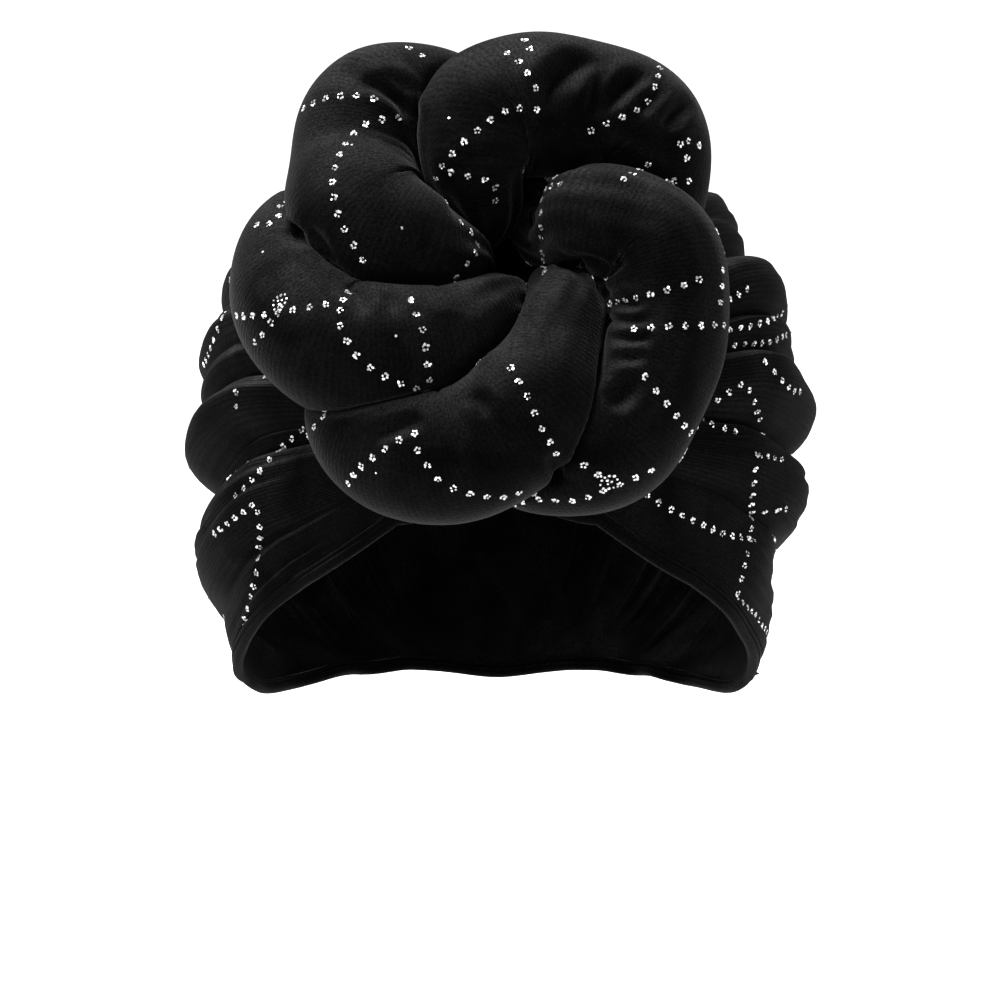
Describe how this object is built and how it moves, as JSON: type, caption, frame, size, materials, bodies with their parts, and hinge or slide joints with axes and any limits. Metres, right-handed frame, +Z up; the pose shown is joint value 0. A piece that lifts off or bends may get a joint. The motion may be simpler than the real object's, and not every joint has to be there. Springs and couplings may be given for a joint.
{
  "type": "turban headwrap",
  "caption": "Pull-on velvet turban cap, gathered at the front, with a stuffed roll knotted into a rosette over the gather.",
  "frame": {"origin": "the middle of the wearer's head at ear level, which the cap grips", "axes": "+Z up out of the top of the head, -Y the way the wearer faces, +X to the wearer's left"},
  "size_m": [0.1917, 0.2453, 0.2248],
  "materials": {
    "cap_velvet": "black stretch velvet with silver glitter dots",
    "hem_velvet": "turned and stitched black velvet",
    "roll_velvet": "stuffed black stretch velvet with silver glitter dots",
    "silver_glitter": "silver foil glitter dots bonded to the velvet"
  },
  "bodies": {
    "root": {"crown": "cap_velvet", "front_hem": "hem_velvet", "knot_roll": "roll_velvet"}
  },
  "joints": []
}
